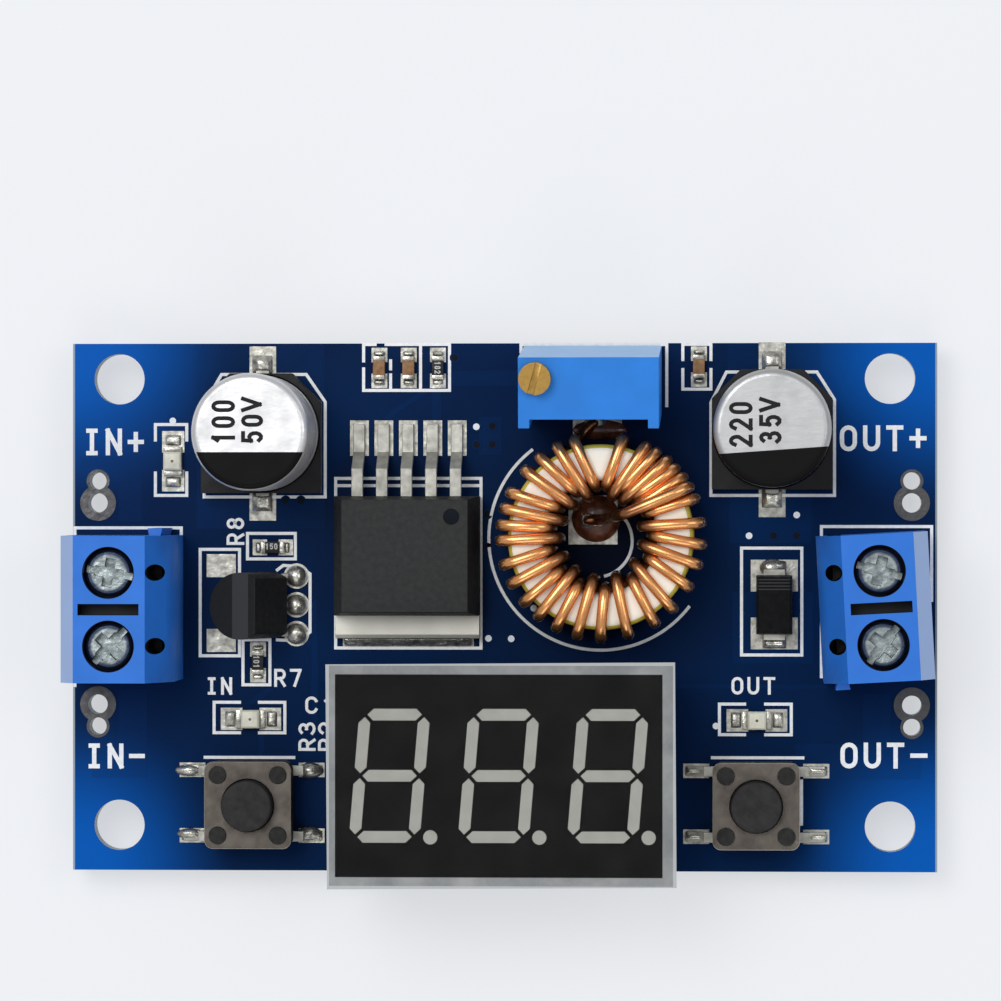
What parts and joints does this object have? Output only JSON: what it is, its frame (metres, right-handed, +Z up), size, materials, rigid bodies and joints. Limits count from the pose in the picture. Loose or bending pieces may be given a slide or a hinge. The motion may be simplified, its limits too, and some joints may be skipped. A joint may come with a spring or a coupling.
{
  "type": "buck converter module",
  "caption": "Step-down voltage converter board with screw terminals, wound coil, trimmer, digit display and two push buttons.",
  "frame": {"origin": "centre of the four mounting holes, on the underside of the board", "axes": "+Z up through the board towards the components, +X from the input terminal to the output terminal, +Y away from the display"},
  "size_m": [0.06, 0.0373, 0.0148],
  "materials": {
    "solder_mask": "glossy blue solder mask over glass fibre board",
    "tinned_copper": "tin plated copper",
    "solder": "bright solder",
    "terminal_plastic": "moulded blue plastic",
    "tinned_brass": "tin plated brass",
    "chip_epoxy": "moulded black epoxy",
    "core_coating": "cream epoxy paint with a yellow edge over iron powder",
    "enamelled_wire": "enamelled copper wire",
    "can_aluminium": "drawn aluminium with a printed black mark",
    "base_plastic": "moulded black plastic",
    "trimmer_plastic": "moulded bright blue plastic",
    "screw_brass": "turned brass",
    "wheel_plastic": "moulded pale plastic",
    "ceramic": "fired ceramic",
    "sealing_resin": "cast resin",
    "display_face": "white moulding with a black printed face",
    "segment_resin": "unlit grey milky resin",
    "display_backing": "white circuit board",
    "clear_film": "thin clear protective film",
    "switch_steel": "brushed plated steel",
    "button_plastic": "moulded black plastic",
    "screw_steel": "zinc plated steel",
    "cage_steel": "plated steel",
    "resistor_body": "dark glaze over ceramic",
    "capacitor_body": "brown fired ceramic",
    "led_resin": "milky yellow resin"
  },
  "bodies": {
    "root": {"circuit_board": "solder_mask", "copper_pads": "tinned_copper", "solder_joints": "solder", "input_terminal_housing": "terminal_plastic", "output_terminal_housing": "terminal_plastic", "input_terminal_contacts": "tinned_brass", "output_terminal_contacts": "tinned_brass", "chip_body": "chip_epoxy", "chip_tab": "tinned_copper", "chip_leads": "tinned_copper", "coil_core": "core_coating", "coil_winding": "enamelled_wire", "input_capacitor_can": "can_aluminium", "input_capacitor_base": "base_plastic", "input_capacitor_leads": "tinned_copper", "output_capacitor_can": "can_aluminium", "output_capacitor_base": "base_plastic", "output_capacitor_leads": "tinned_copper", "trimmer_housing": "trimmer_plastic", "trimmer_element": "ceramic", "trimmer_base": "sealing_resin", "trimmer_pins": "tinned_copper", "display_housing": "display_face", "display_segments": "segment_resin", "display_back": "display_backing", "display_pins": "tinned_copper", "display_film": "clear_film", "diode_body": "chip_epoxy", "diode_leads": "tinned_copper", "small_regulator_body": "chip_epoxy", "small_regulator_leads": "tinned_copper", "chip_resistors": "resistor_body", "chip_capacitors": "capacitor_body", "chip_part_ends": "solder", "power_led": "led_resin", "input_led": "led_resin", "output_led": "led_resin", "controller_body": "chip_epoxy", "controller_leads": "tinned_copper", "left_switch_base": "base_plastic", "left_switch_cover": "switch_steel", "left_switch_dome": "switch_steel", "left_switch_leads": "tinned_copper", "right_switch_base": "base_plastic", "right_switch_cover": "switch_steel", "right_switch_dome": "switch_steel", "right_switch_leads": "tinned_copper"},
    "input_back_screw": {"input_back_clamp_screw": "screw_steel"},
    "input_back_cage": {"input_back_wire_cage": "cage_steel"},
    "input_front_screw": {"input_front_clamp_screw": "screw_steel"},
    "input_front_cage": {"input_front_wire_cage": "cage_steel"},
    "output_back_screw": {"output_back_clamp_screw": "screw_steel"},
    "output_back_cage": {"output_back_wire_cage": "cage_steel"},
    "output_front_screw": {"output_front_clamp_screw": "screw_steel"},
    "output_front_cage": {"output_front_wire_cage": "cage_steel"},
    "left_button_cap": {"left_button": "button_plastic"},
    "right_button_cap": {"right_button": "button_plastic"},
    "trimmer_adjuster": {"trimmer_screw": "screw_brass"},
    "trimmer_wiper": {"trimmer_wiper_wheel": "wheel_plastic"}
  },
  "joints": [
    {"name": "input_back_screw_turn", "type": "hinge", "parent": "root", "child": "input_back_screw", "pos_m": [-0.0264, 0.00217, 0.01], "axis": [0, 0, -1], "range_deg": [0, 1440]},
    {"name": "input_back_cage_rise", "type": "slide", "parent": "root", "child": "input_back_cage", "axis": [0, 0, 1], "range_m": [0, 0.002]},
    {"name": "input_front_screw_turn", "type": "hinge", "parent": "root", "child": "input_front_screw", "pos_m": [-0.0264, -0.00283, 0.01], "axis": [0, 0, -1], "range_deg": [0, 1440]},
    {"name": "input_front_cage_rise", "type": "slide", "parent": "root", "child": "input_front_cage", "axis": [0, 0, 1], "range_m": [0, 0.002]},
    {"name": "output_back_screw_turn", "type": "hinge", "parent": "root", "child": "output_back_screw", "pos_m": [0.02582, 0.00232, 0.01], "axis": [0, 0, -1], "range_deg": [0, 1440]},
    {"name": "output_back_cage_rise", "type": "slide", "parent": "root", "child": "output_back_cage", "axis": [0, 0, 1], "range_m": [0, 0.002]},
    {"name": "output_front_screw_turn", "type": "hinge", "parent": "root", "child": "output_front_screw", "pos_m": [0.02608, -0.00267, 0.01], "axis": [0, 0, -1], "range_deg": [0, 1440]},
    {"name": "output_front_cage_rise", "type": "slide", "parent": "root", "child": "output_front_cage", "axis": [0, 0, 1], "range_m": [0, 0.002]},
    {"name": "left_button_press", "type": "slide", "parent": "root", "child": "left_button_cap", "axis": [0, 0, -1], "range_m": [0, 0.00025], "stiffness_N_per_m": 4000, "springref_m": -0.0001, "deforming": ["left_switch_dome"]},
    {"name": "right_button_press", "type": "slide", "parent": "root", "child": "right_button_cap", "axis": [0, 0, -1], "range_m": [0, 0.00025], "stiffness_N_per_m": 4000, "springref_m": -0.0001, "deforming": ["right_switch_dome"]},
    {"name": "trimmer_screw_turn", "type": "hinge", "parent": "root", "child": "trimmer_adjuster", "pos_m": [0.00259, 0.0164, 0.00196], "axis": [0, -0.1045, 0.9945], "range_deg": [-4500, 4500]},
    {"name": "trimmer_wiper_turn", "type": "hinge", "parent": "root", "child": "trimmer_wiper", "pos_m": [0.00643, 0.01587, 0.00695], "axis": [0, 0.9945, 0.1045], "range_deg": [-165, 165]}
  ],
  "couplings": [
    {"joint": "input_back_screw_turn", "follows": "input_back_cage_rise", "rad_per_m": 12566},
    {"joint": "input_front_screw_turn", "follows": "input_front_cage_rise", "rad_per_m": 12566},
    {"joint": "output_back_screw_turn", "follows": "output_back_cage_rise", "rad_per_m": 12566},
    {"joint": "output_front_screw_turn", "follows": "output_front_cage_rise", "rad_per_m": 12566},
    {"joint": "trimmer_wiper_turn", "follows": "trimmer_screw_turn", "ratio": 0.035714}
  ]
}
